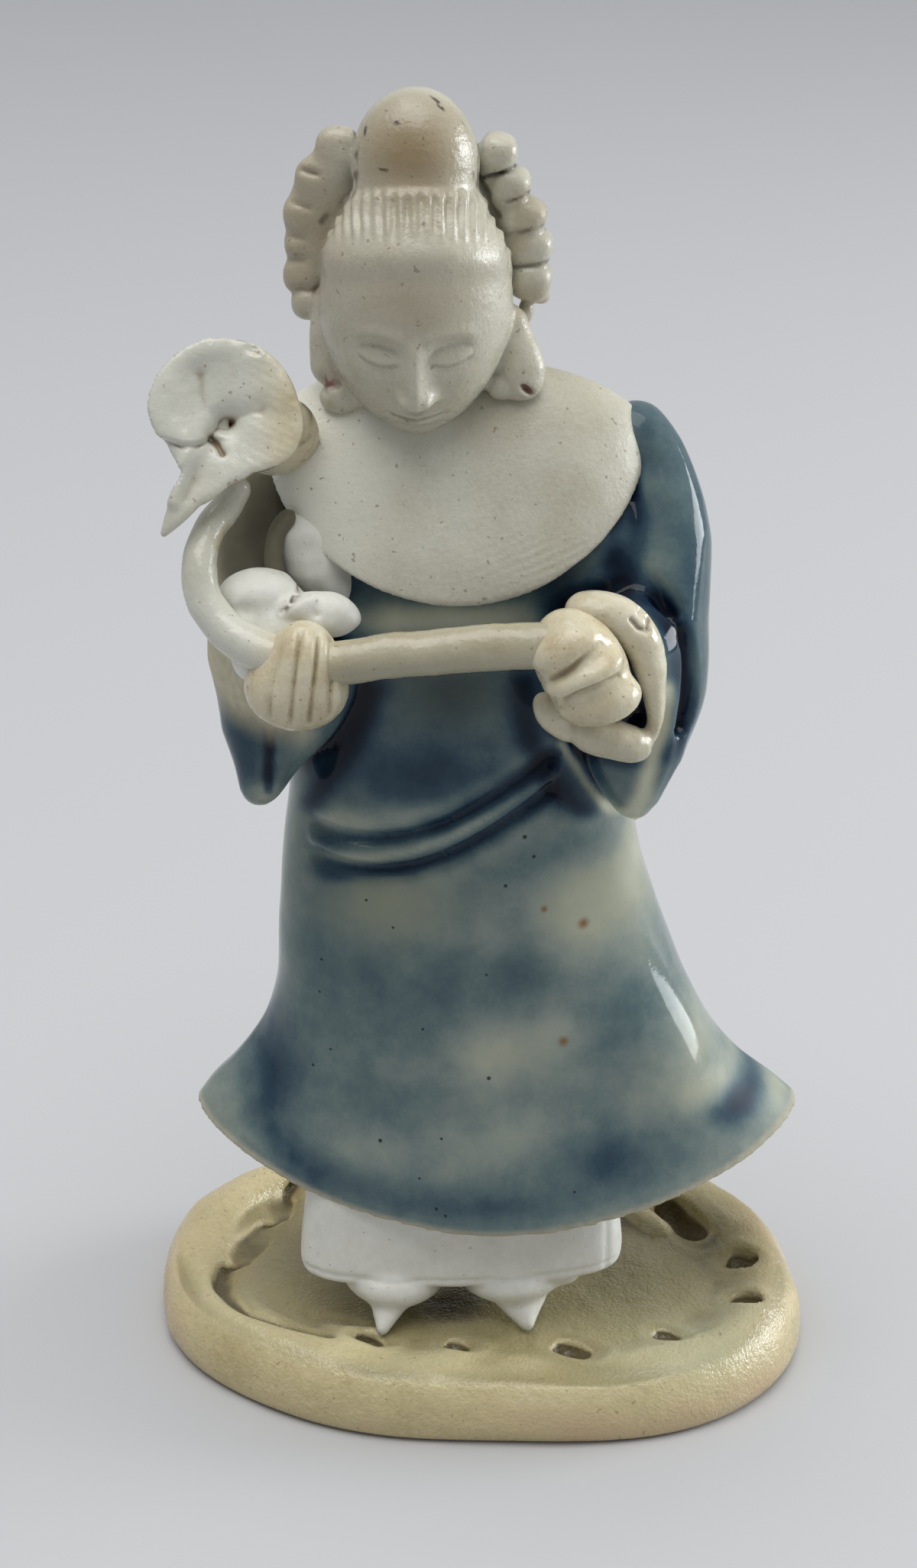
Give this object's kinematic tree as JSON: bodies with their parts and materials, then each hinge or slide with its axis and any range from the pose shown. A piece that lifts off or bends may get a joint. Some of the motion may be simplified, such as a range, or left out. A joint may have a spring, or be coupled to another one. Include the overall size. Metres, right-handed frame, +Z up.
{
  "type": "ceramic figurine",
  "caption": "Small standing robed figure in glazed ceramic, holding a lotus leaf on a long stem, on a low oval clay base.",
  "frame": {"origin": "centre of the base's outline, on the surface that it stands on", "axes": "+Z up, the figure faces -Y, +X towards its left hand"},
  "size_m": [0.052, 0.0374, 0.1009],
  "materials": {
    "glazed_robe": "glossy celadon glaze with watery cobalt blue patches, dark where it pools in the folds",
    "biscuit": "unglazed warm white biscuit of head, hair and cape, dry satin with fine grain",
    "bare_hands": "creamy half-glossy clay of the hands and the lotus",
    "white_clay": "matt white clay of trousers and shoes",
    "base_clay": "buff clay with a thin uneven greenish sheen"
  },
  "bodies": {
    "root": {"figure": "glazed_robe", "base": "base_clay"}
  },
  "joints": []
}
